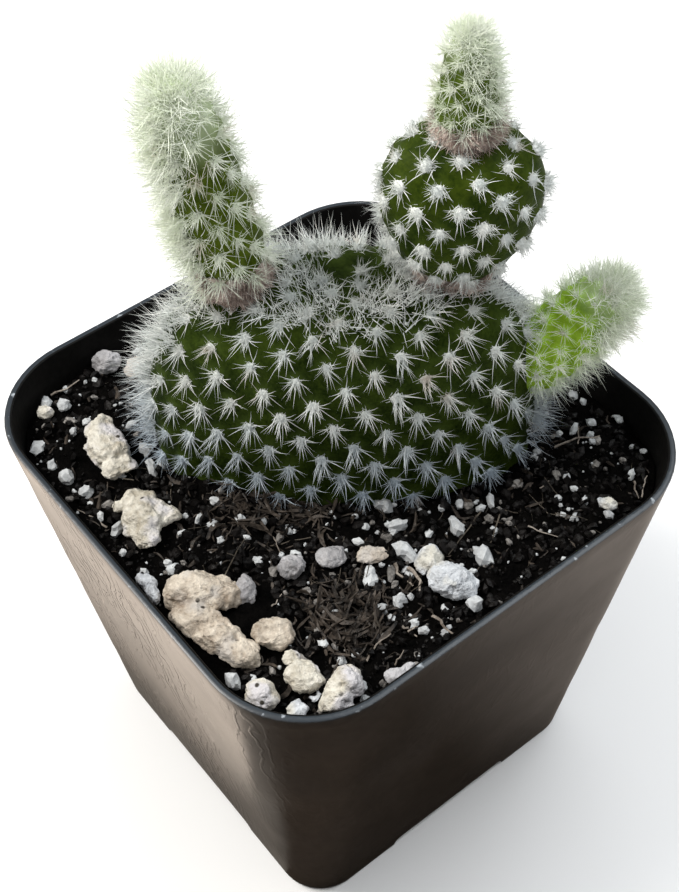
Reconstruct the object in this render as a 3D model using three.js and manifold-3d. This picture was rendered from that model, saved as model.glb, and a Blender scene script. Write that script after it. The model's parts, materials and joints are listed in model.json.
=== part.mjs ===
// A young bunny ears cactus in a black square nursery pot, with gritty soil and pale stones.
// Millimetres, +Z up. The origin is the middle of the pot's underside, and the pot's sides run along X and Y.
// What the pot holds is laid out in a turned frame: across (X), away from the viewer (Y) and up (Z).

import * as THREE from "three";
import { mergeVertices } from "three/addons/utils/BufferGeometryUtils.js";
import Module from "manifold-3d";

const wasm = await Module();
wasm.setup();

// Driving dimensions

const pot = {
  height: 60,
  topWidth: 63.5,
  topCorner: 12.7,
  baseWidth: 48,
  baseCorner: 6,
  wall: 1,
  floorUnderside: 2.4,
  floorThickness: 1.2,
  footWidth: 2.2,
  archWidth: 20,
  archHeight: 1.8,
  drainRadius: 1.8,
  drainOffset: 13,
};
const clearance = 0.3;
const smallestDetail = 0.03;
const soilLevel = 55.5;
const plantTurn = THREE.MathUtils.degToRad(52.47);

// Each stem segment: where it starts and ends, how wide and deep it is, how square its ends are,
// how far its widest place is moved towards the tip, how much narrower it gets along its length,
// how many rings and spine tufts it has, and the segment that it grows from.
const stems = {
  pad_main: {
    base: [1, 0.6, 37], tip: [1, 3.3, 82.3], width: 45, depth: 20.6, squareness: 2.8, skew: 1, taper: 0,
    around: 24, along: 14, tufts: 208, tuftSize: 1, color: 0x39522a, mother: null,
  },
  pad_left_ear: {
    base: [-9.6, 3, 77.5], tip: [-15, 2, 108], width: 8.8, depth: 8.8, squareness: 2.8, skew: 1, taper: 0.16,
    around: 12, along: 8, tufts: 62, tuftSize: 0.9, color: 0x7c8f57, mother: "pad_main",
  },
  pad_middle: {
    base: [12.5, 3, 79.6], tip: [14.2, 4, 99.8], width: 17, depth: 13, squareness: 2.3, skew: 1.6, taper: 0,
    around: 16, along: 9, tufts: 54, tuftSize: 0.95, color: 0x335126, mother: "pad_main",
  },
  pad_top: {
    base: [13.8, 4, 98], tip: [13.3, 4, 111.5], width: 7.3, depth: 7.3, squareness: 2.6, skew: 1, taper: 0.42,
    around: 10, along: 6, tufts: 30, tuftSize: 0.8, color: 0x5c7a3c, mother: "pad_middle",
  },
  pad_right_ear: {
    base: [20, 2.5, 65], tip: [32.1, 3.9, 78], width: 9.2, depth: 9.2, squareness: 2.7, skew: 1, taper: 0.24,
    around: 12, along: 7, tufts: 44, tuftSize: 0.85, color: 0x84a544, mother: "pad_main",
  },
};

// The spine tuft: a woolly root that is sunk in the skin, three spines that fan out and one that stands up.
// Tufts keep off the soil, off the segment below and off the segments that grow from theirs.
const tuft = {
  rootRadius: 0.42,
  rootDepth: 0.9,
  crownRadius: 0.3,
  crownHeight: 0.25,
  reach: 1.95,
  rise: 0.75,
  spike: 2.2,
  spikeLean: 0.29,
  turnRange: 0.9,
  aboveSoil: 0.7,
  tipAboveSoil: 0.45,
  offMother: 0.6,
  offChild: 2.1,
};

// Stones: colour, middle across and away, and the lumps that make each one, as offset and half sizes.
const stoneColors = { cream: 0xd9cdb2, grey: 0xa9a8a4, tan: 0xc9b08c, white: 0xdcdad2 };
const stones = [
  {
    look: "cream", at: [-27.5, 0],
    lumps: [[-0.9, 2.6, 0.9, 1.8, 2.3, 1.9], [0.1, 0, 0.9, 2.6, 2.8, 2.2], [1.5, -2.9, 0.6, 2, 2, 1.7]],
  },
  {
    look: "cream", at: [-21.9, -10.4],
    lumps: [
      [-0.3, 0.2, 0.8, 2.6, 2.7, 2.1], [-3, 1.8, 0.8, 1.6, 0.8, 0.9], [-1.1, 2.4, 0.9, 1.9, 1.7, 1.7],
      [1.9, 0.4, 0.8, 1.9, 1.3, 1.4], [0, -2.7, 0.6, 1.5, 2.3, 1.6],
    ],
  },
  {
    look: "tan", at: [-14.8, -21.6],
    lumps: [
      [-1.2, 0.9, 1.2, 3.4, 2.6, 2.4], [1.8, 1.2, 1, 2.3, 1.8, 1.9], [-1.2, -2.2, 0.8, 2.9, 2.1, 1.9],
      [1.3, -4.2, 0.8, 2.6, 2, 1.8], [3.5, -6.2, 0.7, 2.4, 1.8, 1.7], [5.2, -7.6, 0.5, 1.6, 1.4, 1.4],
    ],
  },
  {
    look: "white", at: [-21.3, -20.2],
    lumps: [[-0.4, 0.9, 0.5, 1.6, 1.2, 1.2], [0.5, -0.8, 0.5, 1.3, 1.4, 1.2]],
  },
  { look: "grey", at: [-10.4, -20.7], lumps: [[0, 0, 0.6, 1.1, 1.9, 1.5]] },
  { look: "tan", at: [-7.4, -26.6], lumps: [[0, 0, 0.6, 2.4, 2.2, 1.9]] },
  { look: "cream", at: [-5.3, -29.4], lumps: [[0, 0, 0.5, 1.1, 1, 1]] },
  { look: "cream", at: [-8.5, -34.2], lumps: [[0, 0, 0.6, 2, 1.8, 1.7]] },
  { look: "cream", at: [-4.1, -31.9], lumps: [[0, 0, 0.7, 2.1, 1.9, 1.7]] },
  { look: "white", at: [-2.7, -33.9], lumps: [[0, 0, 0.5, 0.9, 0.9, 0.9]] },
  { look: "white", at: [-4.6, -35.4], lumps: [[0, 0, 0.5, 1.3, 1.2, 1.2]] },
  { look: "cream", at: [0.1, -34.2], lumps: [[0.5, 1, 1, 2.1, 1.9, 2], [-0.6, -0.9, 0.6, 2, 1.7, 1.7]] },
  { look: "grey", at: [-5.4, -17.8], lumps: [[0, 0, 0.6, 1.6, 1.7, 1.6]] },
  { look: "grey", at: [-0.6, -16.1], lumps: [[0, 0, 0.4, 2, 1.6, 1.4]] },
  { look: "tan", at: [3.7, -16], lumps: [[0, 0, 0.4, 2.1, 1.3, 1.2]] },
  { look: "white", at: [12.5, -20.4], lumps: [[0, 0, 0.9, 3.1, 2.4, 2.2]] },
  { look: "white", at: [10.2, -17.1], lumps: [[0, 0, 0.8, 1.7, 2.1, 1.9]] },
  { look: "grey", at: [-28.6, 14.2], lumps: [[0, 0, 0.6, 1.8, 1.9, 1.7]] },
  { look: "tan", at: [-25.1, 13.5], lumps: [[0, 0, 0.5, 1.3, 1.9, 1.5]] },
  { look: "white", at: [31.1, -9.8], lumps: [[0, 0, 0.4, 1.3, 1, 1]] },
  { look: "grey", at: [6.3, -32], lumps: [[-0.5, 0, 0.3, 1.5, 1.2, 1.1], [1, 0.8, 0.2, 1.3, 1, 1]] },
  { look: "cream", at: [-35.4, 6], lumps: [[0, 0, 0.4, 1.2, 1.1, 1]] },
];
const lump = { smallest: 0.86, range: 0.26, fineFrom: 1.65 };

// Draws: a small seeded generator, so that each build is alike

function randomFrom(seed) {
  let state = seed * 7919 + 17;
  return () => {
    state = (state * 1664525 + 1013904223) % 4294967296;
    return state / 4294967296;
  };
}

// Solids

function solidOf(geometry) {
  geometry.deleteAttribute("normal");
  geometry.deleteAttribute("uv");
  const merged = mergeVertices(geometry, 1e-4);
  return new wasm.Manifold(new wasm.Mesh({
    numProp: 3,
    vertProperties: Float32Array.from(merged.attributes.position.array),
    triVerts: Uint32Array.from(merged.index.array),
  }));
}

function geometryOf(solid) {
  const mesh = solid.getMesh();
  const geometry = new THREE.BufferGeometry();
  geometry.setAttribute("position", new THREE.BufferAttribute(Float32Array.from(mesh.vertProperties), 3));
  geometry.setIndex(new THREE.BufferAttribute(Uint32Array.from(mesh.triVerts), 1));
  geometry.computeVertexNormals();
  return geometry;
}

// A closed skin through rings of points, each ring anticlockwise seen from the last one's side.
function loft(rings, first, last) {
  const points = [first, ...rings.flat(), last];
  const count = rings[0].length;
  const faces = [];
  const place = (ring, step) => 1 + ring * count + (step % count);
  for (let step = 0; step < count; step++) {
    faces.push(0, place(0, step + 1), place(0, step));
    for (let ring = 0; ring < rings.length - 1; ring++) {
      faces.push(place(ring, step), place(ring, step + 1), place(ring + 1, step + 1));
      faces.push(place(ring, step), place(ring + 1, step + 1), place(ring + 1, step));
    }
    faces.push(points.length - 1, place(rings.length - 1, step), place(rings.length - 1, step + 1));
  }
  const geometry = new THREE.BufferGeometry().setFromPoints(points);
  geometry.setIndex(faces);
  return solidOf(geometry);
}

// Pot

function roundedSquare(width, corner, z, cornerSteps = 6, sideSteps = 1) {
  const straight = width / 2 - corner;
  const middles = [[1, -1], [1, 1], [-1, 1], [-1, -1]].map(([x, y]) => [x * straight, y * straight]);
  const points = [];
  middles.forEach(([x, y], side) => {
    const start = (side - 1) * Math.PI / 2;
    for (let step = 0; step <= cornerSteps; step++) {
      const angle = start + (step / cornerSteps) * Math.PI / 2;
      points.push(new THREE.Vector3(x + corner * Math.cos(angle), y + corner * Math.sin(angle), z));
    }
    const here = points[points.length - 1];
    const [nextX, nextY] = middles[(side + 1) % 4];
    const end = start + Math.PI / 2;
    const next = new THREE.Vector3(nextX + corner * Math.cos(end), nextY + corner * Math.sin(end), z);
    for (let step = 1; step < sideSteps; step++) points.push(here.clone().lerp(next, step / sideSteps));
  });
  return points;
}

// The pot's outline at a height, moved inwards by an inset.
function potOutline(z, inset, cornerSteps, sideSteps) {
  const share = z / pot.height;
  const width = THREE.MathUtils.lerp(pot.baseWidth, pot.topWidth, share) - 2 * inset;
  const corner = Math.max(THREE.MathUtils.lerp(pot.baseCorner, pot.topCorner, share) - inset, 1);
  return roundedSquare(width, corner, z, cornerSteps, sideSteps);
}

function potBlock(from, to, inset) {
  const outlines = [potOutline(from, inset), potOutline(to, inset)];
  return loft(outlines, new THREE.Vector3(0, 0, from), new THREE.Vector3(0, 0, to));
}

function makePot() {
  const overlap = 1;
  let body = potBlock(0, pot.height, 0);
  body = body.subtract(potBlock(pot.floorUnderside + pot.floorThickness, pot.height + overlap, pot.wall));
  body = body.subtract(potBlock(-overlap, pot.floorUnderside, pot.footWidth));
  const arch = new THREE.Shape();
  arch.moveTo(-pot.archWidth / 2, -overlap);
  arch.lineTo(pot.archWidth / 2, -overlap);
  arch.lineTo(pot.archWidth / 2 - pot.archHeight, pot.archHeight);
  arch.lineTo(-pot.archWidth / 2 + pot.archHeight, pot.archHeight);
  arch.closePath();
  for (const turn of [0, Math.PI / 2]) {
    const cut = new THREE.ExtrudeGeometry(arch, { depth: pot.topWidth, bevelEnabled: false });
    cut.translate(0, 0, -pot.topWidth / 2).rotateX(Math.PI / 2).rotateZ(turn);
    body = body.subtract(solidOf(cut));
  }
  for (const [x, y] of [[1, 1], [-1, 1], [-1, -1], [1, -1]]) {
    const hole = new THREE.CylinderGeometry(pot.drainRadius, pot.drainRadius, pot.floorUnderside * 4, 12);
    hole.rotateX(Math.PI / 2).translate(x * pot.drainOffset, y * pot.drainOffset, pot.floorUnderside);
    body = body.subtract(solidOf(hole));
  }
  return body;
}

// Soil

const mound = { at: [-11, -5.8], height: 1.6, spread: 6 };

// The soil's height in the turned frame: low lumps, and a bank of crumbs against the main pad.
function soilHeight(across, away) {
  const lumps = 0.35 * Math.sin(0.61 * across + 1.3) * Math.cos(0.53 * away - 0.4)
    + 0.25 * Math.sin(0.97 * across - 0.73 * away + 2.1)
    + 0.15 * Math.sin(1.5 * across + 1.2 * away);
  const distance = Math.hypot(across - mound.at[0], away - mound.at[1]) / mound.spread;
  return soilLevel + lumps + mound.height * Math.exp(-distance * distance);
}

function turned(point, angle) {
  return point.clone().applyAxisAngle(new THREE.Vector3(0, 0, 1), angle);
}

// The soil as a plug in the pot's own frame, raised or widened to cut what rests on it.
function makeSoil(rise, inset) {
  const rings = [];
  const ringCount = 11;
  const cornerSteps = 4;
  const sideSteps = 6;
  const bottom = pot.floorUnderside + pot.floorThickness + clearance;
  rings.push(potOutline(bottom, inset, cornerSteps, sideSteps));
  for (let ring = 0; ring < ringCount; ring++) {
    const share = 1 - ring / ringCount;
    rings.push(potOutline(soilLevel, inset, cornerSteps, sideSteps).map((point) => {
      const [x, y] = [point.x * share, point.y * share];
      const own = turned(new THREE.Vector3(x, y, 0), -plantTurn);
      return new THREE.Vector3(x, y, soilHeight(own.x, own.y) + rise);
    }));
  }
  const peak = new THREE.Vector3(0, 0, soilHeight(0, 0) + rise);
  return loft(rings, new THREE.Vector3(0, 0, bottom), peak);
}

// Stem segments

// The segment's own axes: across its width, through its depth and along its length.
function axesOf(stem) {
  const base = new THREE.Vector3(...stem.base);
  const along = new THREE.Vector3(...stem.tip).sub(base);
  const length = along.length();
  along.normalize();
  const front = new THREE.Vector3(0, -1, 0);
  front.addScaledVector(along, -front.dot(along)).normalize();
  const across = new THREE.Vector3().crossVectors(front, along);
  return { base, along, front, across, length };
}

// How much of its full width a segment has at a share of its length.
function swell(stem, share) {
  const along = Math.min(Math.max(share, 0), 1);
  const place = Math.abs(2 * along ** stem.skew - 1);
  return (1 - stem.taper * along) * Math.max(0, 1 - place ** stem.squareness) ** (1 / stem.squareness);
}

// A point of the segment's skin, in the segment's own axes: across, front, along.
function skinPoint(stem, axes, share, angle, grow = 0) {
  const size = swell(stem, share);
  const middle = axes.length / 2;
  const height = middle + (share * axes.length - middle) * (1 + grow / middle);
  return axes.base.clone()
    .addScaledVector(axes.along, height)
    .addScaledVector(axes.across, size * (stem.width / 2 + grow) * Math.cos(angle))
    .addScaledVector(axes.front, size * (stem.depth / 2 + grow) * Math.sin(angle));
}

function stemBody(stem, grow = 0) {
  const axes = axesOf(stem);
  const rings = [];
  for (let ring = 1; ring < stem.along; ring++) {
    const share = (1 - Math.cos(Math.PI * ring / stem.along)) / 2;
    rings.push(Array.from({ length: stem.around }, (_, step) => {
      return skinPoint(stem, axes, share, 2 * Math.PI * step / stem.around, grow);
    }));
  }
  return loft(rings, skinPoint(stem, axes, 0, 0, grow), skinPoint(stem, axes, 1, 0, grow));
}

// Whether a point lies inside a segment that is grown all over.
function isInside(stem, point, grow) {
  const axes = axesOf(stem);
  const from = point.clone().sub(axes.base);
  const share = (from.dot(axes.along) + grow) / (axes.length + 2 * grow);
  const size = swell(stem, share);
  if (size <= 0) return false;
  const x = from.dot(axes.across) / (size * (stem.width / 2 + grow));
  const y = from.dot(axes.front) / (size * (stem.depth / 2 + grow));
  return x * x + y * y < 1;
}

// The value at which a running total reaches a share of its end value.
function reachOf(totals, share) {
  const wanted = share * totals[totals.length - 1];
  const index = totals.findIndex((total) => total >= wanted);
  if (index < 1) return 0;
  const part = (wanted - totals[index - 1]) / (totals[index] - totals[index - 1]);
  return (index - 1 + part) / (totals.length - 1);
}

function runningTotals(steps, point) {
  const totals = [0];
  for (let step = 1; step <= steps; step++) {
    totals.push(totals[step - 1] + point(step / steps, (step - 1) / steps));
  }
  return totals;
}

// Tuft places: a spiral of golden turns, with each place given the same share of the skin.
function tuftPlaces(stem) {
  const axes = axesOf(stem);
  const steps = 80;
  const area = runningTotals(steps, (share, before) => {
    const strip = skinPoint(stem, axes, share, 0).distanceTo(skinPoint(stem, axes, before, 0));
    return strip * (swell(stem, share) + swell(stem, before) + 0.02);
  });
  const girth = runningTotals(steps, (share, before) => {
    const point = skinPoint(stem, axes, 0.5, share * 2 * Math.PI);
    return point.distanceTo(skinPoint(stem, axes, 0.5, before * 2 * Math.PI));
  });
  const goldenTurn = (Math.sqrt(5) - 1) / 2;
  return Array.from({ length: stem.tufts }, (_, index) => {
    const share = reachOf(area, (index + 0.5) / stem.tufts);
    const angle = reachOf(girth, (index * goldenTurn) % 1) * 2 * Math.PI;
    const nudge = 0.01;
    const centre = skinPoint(stem, axes, share, angle);
    const lengthwise = skinPoint(stem, axes, Math.min(share + nudge, 1), angle)
      .sub(skinPoint(stem, axes, Math.max(share - nudge, 0), angle)).normalize();
    const sideways = skinPoint(stem, axes, share, angle + nudge)
      .sub(skinPoint(stem, axes, share, angle - nudge));
    const normal = new THREE.Vector3().crossVectors(lengthwise, sideways).normalize();
    const core = axes.base.clone().addScaledVector(axes.along, axes.length / 2);
    if (normal.dot(centre.clone().sub(core)) < 0) normal.negate();
    return { centre, normal, lengthwise };
  });
}

// One tuft as a closed star: a sunk root triangle, a crown triangle turned by half a step,
// three side spines between them and one spine on top.
function tuftStar(place, size, turn) {
  const side = new THREE.Vector3().crossVectors(place.normal, place.lengthwise);
  const point = (radius, angle, out) => place.centre.clone()
    .addScaledVector(place.lengthwise, -radius * Math.cos(angle) * size)
    .addScaledVector(side, -radius * Math.sin(angle) * size)
    .addScaledVector(place.normal, out * size);
  const third = 2 * Math.PI / 3;
  const angles = [0, 1, 2].map((step) => turn + step * third);
  const root = angles.map((angle) => point(tuft.rootRadius, angle - third / 2, -tuft.rootDepth));
  const crown = angles.map((angle) => point(tuft.crownRadius, angle, tuft.crownHeight));
  const tips = angles.map((angle) => point(tuft.reach, angle, tuft.rise));
  const spike = point(tuft.spikeLean, turn, tuft.spike);
  return { root, crown, tips, spike };
}

function starSolid({ root, crown, tips, spike }) {
  const points = [...root, ...crown, ...tips, spike];
  const faces = [0, 2, 1];
  for (let step = 0; step < 3; step++) {
    const next = (step + 1) % 3;
    const [low, lowNext, top, topNext, tip] = [step, next, 3 + step, 3 + next, 6 + step];
    faces.push(low, lowNext, tip, lowNext, top, tip, top, low, tip);
    faces.push(lowNext, topNext, top, top, topNext, 9);
  }
  const geometry = new THREE.BufferGeometry().setFromPoints(points);
  geometry.setIndex(faces);
  return solidOf(geometry);
}

// A segment with its tufts. Tufts that the soil or a neighbouring segment covers are left out,
// and tips that would dip into the soil are bent clear of it.
function makeStem(name) {
  const stem = stems[name];
  const random = randomFrom(name.length);
  const mother = stem.mother ? stems[stem.mother] : null;
  const children = Object.values(stems).filter((other) => other.mother === name);
  const stars = [];
  for (const place of tuftPlaces(stem)) {
    const star = tuftStar(place, stem.tuftSize, (random() - 0.5) * tuft.turnRange);
    const ends = [place.centre, ...star.tips, star.spike];
    const soilTop = soilHeight(place.centre.x, place.centre.y);
    if (place.centre.z < soilTop + tuft.aboveSoil) continue;
    if (mother && ends.some((end) => isInside(mother, end, tuft.offMother))) continue;
    if (children.some((child) => ends.some((end) => isInside(child, end, tuft.offChild)))) continue;
    for (const end of [...star.tips, star.spike]) {
      end.z = Math.max(end.z, soilHeight(end.x, end.y) + tuft.tipAboveSoil);
    }
    stars.push(starSolid(star));
  }
  let solid = stemBody(stem);
  if (mother) solid = solid.subtract(stemBody(mother, clearance));
  return wasm.Manifold.union([solid, ...stars]).simplify(smallestDetail);
}

// Stones

// A worn pumice lump: a ball of few faces, pushed in and out by a seeded draw.
function lumpSolid([x, y, z, halfWidth, halfDepth, halfHeight], random, grow) {
  const detail = Math.max(halfWidth, halfDepth) > lump.fineFrom ? 1 : 0;
  const bare = new THREE.IcosahedronGeometry(1, detail).deleteAttribute("normal").deleteAttribute("uv");
  const ball = mergeVertices(bare, 1e-4);
  const position = ball.attributes.position;
  const offset = new THREE.Vector3(x, y, z);
  for (let index = 0; index < position.count; index++) {
    const scale = lump.smallest + lump.range * random();
    const size = new THREE.Vector3(halfWidth, halfDepth, halfHeight).multiplyScalar(scale).addScalar(grow);
    const point = new THREE.Vector3().fromBufferAttribute(position, index).multiply(size).add(offset);
    position.setXYZ(index, ...point);
  }
  return solidOf(ball);
}

function stoneLumps(stone, index, grow) {
  const random = randomFrom(index + 3);
  return wasm.Manifold.union(stone.lumps.map((sizes) => lumpSolid(sizes, random, grow)));
}

// The stones one by one, each in its own frame: its underside is cut where it rests in the soil,
// and its side where it meets the pot or a stone that lies there already.
function makeStones(soilBlock, room) {
  const taken = [];
  return stones.map((stone, index) => {
    const [across, away] = stone.at;
    const level = soilHeight(across, away);
    const own = [-across, -away, -level];
    let solid = stoneLumps(stone, index, 0).intersect(room.translate(own)).subtract(soilBlock.translate(own));
    for (const other of taken) solid = solid.subtract(other.translate(own));
    taken.push(stoneLumps(stone, index, clearance).translate([across, away, level]));
    return { solid, level };
  });
}

// Materials

function material(color, roughness) {
  return new THREE.MeshStandardMaterial({ color, roughness, metalness: 0 });
}

// The model

const model = new THREE.Group();

function addMesh(parent, name, solid, meshMaterial) {
  const mesh = new THREE.Mesh(geometryOf(solid), meshMaterial);
  mesh.name = name;
  parent.add(mesh);
  return mesh;
}

const degrees = THREE.MathUtils.radToDeg(plantTurn);
const rootSocket = stemBody(stems.pad_main, clearance).rotate([0, 0, degrees]);
addMesh(model, "pot", makePot(), material(0x2b2927, 0.42));
addMesh(model, "soil", makeSoil(0, pot.wall + clearance).subtract(rootSocket), material(0x17120f, 0.95));

const planting = new THREE.Group();
planting.rotation.z = plantTurn;
model.add(planting);

for (const name of Object.keys(stems)) {
  addMesh(planting, name, makeStem(name), material(stems[name].color, 0.55));
}

const soilBlock = makeSoil(clearance, pot.wall + clearance).rotate([0, 0, -degrees]);
const room = potBlock(0, pot.height * 1.2, pot.wall + 2 * clearance).rotate([0, 0, -degrees]);
makeStones(soilBlock, room).forEach(({ solid, level }, index) => {
  const name = `stone_${String(index + 1).padStart(2, "0")}`;
  const mesh = addMesh(planting, name, solid, material(stoneColors[stones[index].look], 0.9));
  mesh.position.set(...stones[index].at, level);
});

export default model;
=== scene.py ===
import json
import math
import random
from collections import Counter

import bpy
from mathutils import Matrix, Vector, noise
from mathutils.kdtree import KDTree


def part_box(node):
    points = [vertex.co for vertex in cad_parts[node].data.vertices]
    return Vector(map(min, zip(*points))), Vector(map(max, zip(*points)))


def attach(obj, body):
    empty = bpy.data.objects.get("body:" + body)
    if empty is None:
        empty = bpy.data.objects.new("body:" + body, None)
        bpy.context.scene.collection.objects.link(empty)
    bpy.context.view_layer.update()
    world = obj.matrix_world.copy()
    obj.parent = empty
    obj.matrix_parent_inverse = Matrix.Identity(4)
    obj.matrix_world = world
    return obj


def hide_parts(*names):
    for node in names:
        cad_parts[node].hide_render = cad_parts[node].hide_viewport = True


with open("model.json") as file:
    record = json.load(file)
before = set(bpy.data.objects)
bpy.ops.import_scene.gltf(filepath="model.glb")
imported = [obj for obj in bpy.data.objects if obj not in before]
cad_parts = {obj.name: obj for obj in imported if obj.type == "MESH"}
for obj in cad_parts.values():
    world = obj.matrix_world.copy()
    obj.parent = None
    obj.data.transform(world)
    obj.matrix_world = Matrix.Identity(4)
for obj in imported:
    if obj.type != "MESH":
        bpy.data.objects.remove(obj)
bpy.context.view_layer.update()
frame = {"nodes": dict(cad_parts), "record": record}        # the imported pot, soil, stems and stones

mm = 0.001
plantTurn = math.radians(52.47)   # the plant's width runs this far round from X
goldenTurn = (math.sqrt(5) - 1) / 2


# Working on pieces

def deselectAll():
    if bpy.context.object and bpy.context.object.mode != "OBJECT":
        bpy.ops.object.mode_set(mode="OBJECT")
    bpy.ops.object.select_all(action="DESELECT")


def pick(piece):
    deselectAll()
    piece.select_set(True)
    bpy.context.view_layer.objects.active = piece


def enterEdit():
    bpy.ops.object.mode_set(mode="EDIT")


def leaveEdit():
    bpy.ops.object.mode_set(mode="OBJECT")


def editAll():
    enterEdit()
    bpy.ops.mesh.select_all(action="SELECT")


def pickNothingOf(piece):
    # lets go of every vertex, edge and face of the piece
    pick(piece)
    enterEdit()
    bpy.ops.mesh.select_all(action="DESELECT")
    leaveEdit()


def applyPlace(piece):
    pick(piece)
    bpy.ops.object.transform_apply(location=True, rotation=True, scale=True)


def joinPieces(parts, name):
    deselectAll()
    for part in parts:
        part.select_set(True)
    bpy.context.view_layer.objects.active = parts[0]
    bpy.ops.object.join()
    parts[0].name = name
    parts[0].data.name = name
    return parts[0]


def inScene(piece):
    bpy.context.collection.objects.link(piece)
    return piece


def copyPlaced(source, matrix):
    copy = source.copy()
    copy.data = source.data.copy()
    copy.data.transform(matrix)
    return inScene(copy)


def dropPieces(*pieces):
    for piece in pieces:
        bpy.data.objects.remove(piece, do_unlink=True)


def built(operator, **values):
    # runs one of Blender's add operators and returns the new object
    deselectAll()
    operator(**values)
    return bpy.context.object


def clamp(value):
    return max(0.0, min(1.0, value))


def layered(spot, layers, shift=Vector()):
    # noise at several scales, each with its own amount
    return sum(noise.noise(spot * scale + shift) * amount for scale, amount in layers)


def shadeSmooth(piece, angle):
    pick(piece)
    bpy.ops.object.shade_smooth_by_angle(angle=math.radians(angle))


def finishPiece(piece, material, slot=None, nodes=()):
    piece.data.materials.clear()
    piece.data.materials.append(material)
    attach(piece, "root")
    if nodes:
        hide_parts(*nodes)


def turned(across, away, up=0.0):
    c, s = math.cos(plantTurn), math.sin(plantTurn)
    return Vector((across * c - away * s, across * s + away * c, up)) * mm


def unturned(point):
    c, s = math.cos(plantTurn), math.sin(plantTurn)
    return (point.x * c + point.y * s) / mm, (-point.x * s + point.y * c) / mm


# Camera at the photograph's angle

cameraPlace = {
    "location": (91.9, -70.1, 196.1),
    "azimuth": 52.47,
    "elevation": 50.47,
    "roll": -1.23,
    "lens": 61.3,
}


def addCamera():
    az, el = math.radians(cameraPlace["azimuth"]), math.radians(cameraPlace["elevation"])
    back = Vector((math.sin(az) * math.cos(el), -math.cos(az) * math.cos(el), math.sin(el)))
    data = bpy.data.cameras.new("camera")
    data.lens = cameraPlace["lens"]
    data.sensor_width = 36
    data.clip_start = 0.01
    data.clip_end = 10
    camera = inScene(bpy.data.objects.new("camera", data))
    camera.location = Vector(cameraPlace["location"]) * mm
    look = (-back).to_track_quat("-Z", "Y")
    roll = Matrix.Rotation(math.radians(cameraPlace["roll"]), 4, "Z")
    camera.rotation_euler = (look.to_matrix().to_4x4() @ roll).to_euler()
    bpy.context.scene.camera = camera


# Light

lightSet = {
    "world": 0.34,
    "key": {"place": (-190, -210, 430), "size": (200, 200), "watts": 2.3, "colour": (1, 0.97, 0.92)},
    "top": {"place": (40, 190, 430), "size": (300, 300), "watts": 1.1, "colour": (0.93, 0.97, 1)},
    "floorOnly": {"place": (0, 0, 500), "size": (500, 500), "watts": 1.0, "colour": (1, 1, 1)},
    "brightCard": {"place": (-44, -77, 1.5), "size": (100, 88), "watts": 0.061, "colour": (1, 0.84, 0.70)},
    # the dark card and the screen are painted reflections, seen only in the pot's gloss
    "darkCard": {
        "place": (80, -14, 0.6), "size": (124, 180), "paleFrom": 5, "paleTo": 45,
        "dark": (0.11, 0.082, 0.062), "pale": (0.92, 0.79, 0.69),
    },
    "screen": {"place": (-62, -30, 0.5), "size": (160, 156), "tone": (0.42, 0.38, 0.34)},
}


def areaLight(name):
    setting = lightSet[name]
    data = bpy.data.lights.new(name, "AREA")
    data.shape = "RECTANGLE"
    data.size, data.size_y = (side * mm for side in setting["size"])
    data.energy = setting["watts"]
    data.color = setting["colour"]
    light = inScene(bpy.data.objects.new(name, data))
    light.location = Vector(setting["place"]) * mm
    return light


def addLights():
    scene = bpy.context.scene
    world = bpy.data.worlds.new("studio")
    scene.world = world
    world.use_nodes = True
    tree = world.node_tree
    setInputs(tree, tree.nodes["Background"], {"Color": (1, 1, 1), "Strength": lightSet["world"]})
    for name in ("key", "top"):
        light = areaLight(name)
        aim = Vector((0, 0, 0.05)) - light.location
        light.rotation_euler = aim.to_track_quat("-Z", "Y").to_euler()
    scene.view_settings.view_transform = "Standard"
    scene.view_settings.look = "None"


def glossCard(name):
    # a card on the floor that shows in gloss alone, as a painted reflection
    setting = lightSet[name]
    card = built(bpy.ops.mesh.primitive_plane_add, size=1, location=Vector(setting["place"]) * mm)
    card.name = name
    card.scale = (setting["size"][0] * mm, setting["size"][1] * mm, 1)
    applyPlace(card)
    material, tree, shader = newMaterial(name, 1.0, 0.0)
    card.data.materials.append(material)
    card.visible_camera = False
    card.visible_shadow = False
    card.visible_diffuse = False
    return tree, shader


def lightOnly(light, piece, name):
    only = bpy.data.collections.new(name)
    only.objects.link(piece)
    light.light_linking.receiver_collection = only


def addCards(pot):
    # a bright card by the left wall and a dark one by the right wall, both seen only in the pot's gloss: the
    # bright card is a lamp, the dark card a painted reflection of shade
    card = areaLight("brightCard")
    card.rotation_euler = (math.pi, 0, 0)
    card.visible_camera = False
    lightOnly(card, pot, "potOnly")
    # the dark card gets paler towards the back, so its painted shade fades there
    setting = lightSet["darkCard"]
    tree, shader = glossCard("darkCard")
    back = remap(tree, axisOf(tree, "Y"), setting["paleFrom"] * mm, setting["paleTo"] * mm)
    setInputs(tree, shader, {"Base Color": blend(tree, back, setting["dark"], setting["pale"])})
    # the screen is a painted reflection too: a mid-tone card seen only in the left wall's gloss
    tree, shader = glossCard("screen")
    setInputs(tree, shader, {"Base Color": lightSet["screen"]["tone"]})


# Materials

def newMaterial(name, roughness, specular=0.5):
    material = bpy.data.materials.new(name)
    material.use_nodes = True
    shader = material.node_tree.nodes["Principled BSDF"]
    shader.inputs["Roughness"].default_value = roughness
    shader.inputs["Specular IOR Level"].default_value = specular
    return material, material.node_tree, shader


def setInputs(tree, node, inputs):
    # a socket is linked, a plain value is set, and a plain colour gets its alpha
    for key, value in inputs.items():
        socket = node.inputs[key]
        if isinstance(value, bpy.types.NodeSocket):
            tree.links.new(value, socket)
        elif socket.type == "RGBA":
            socket.default_value = (*value, 1)
        else:
            socket.default_value = value


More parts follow.
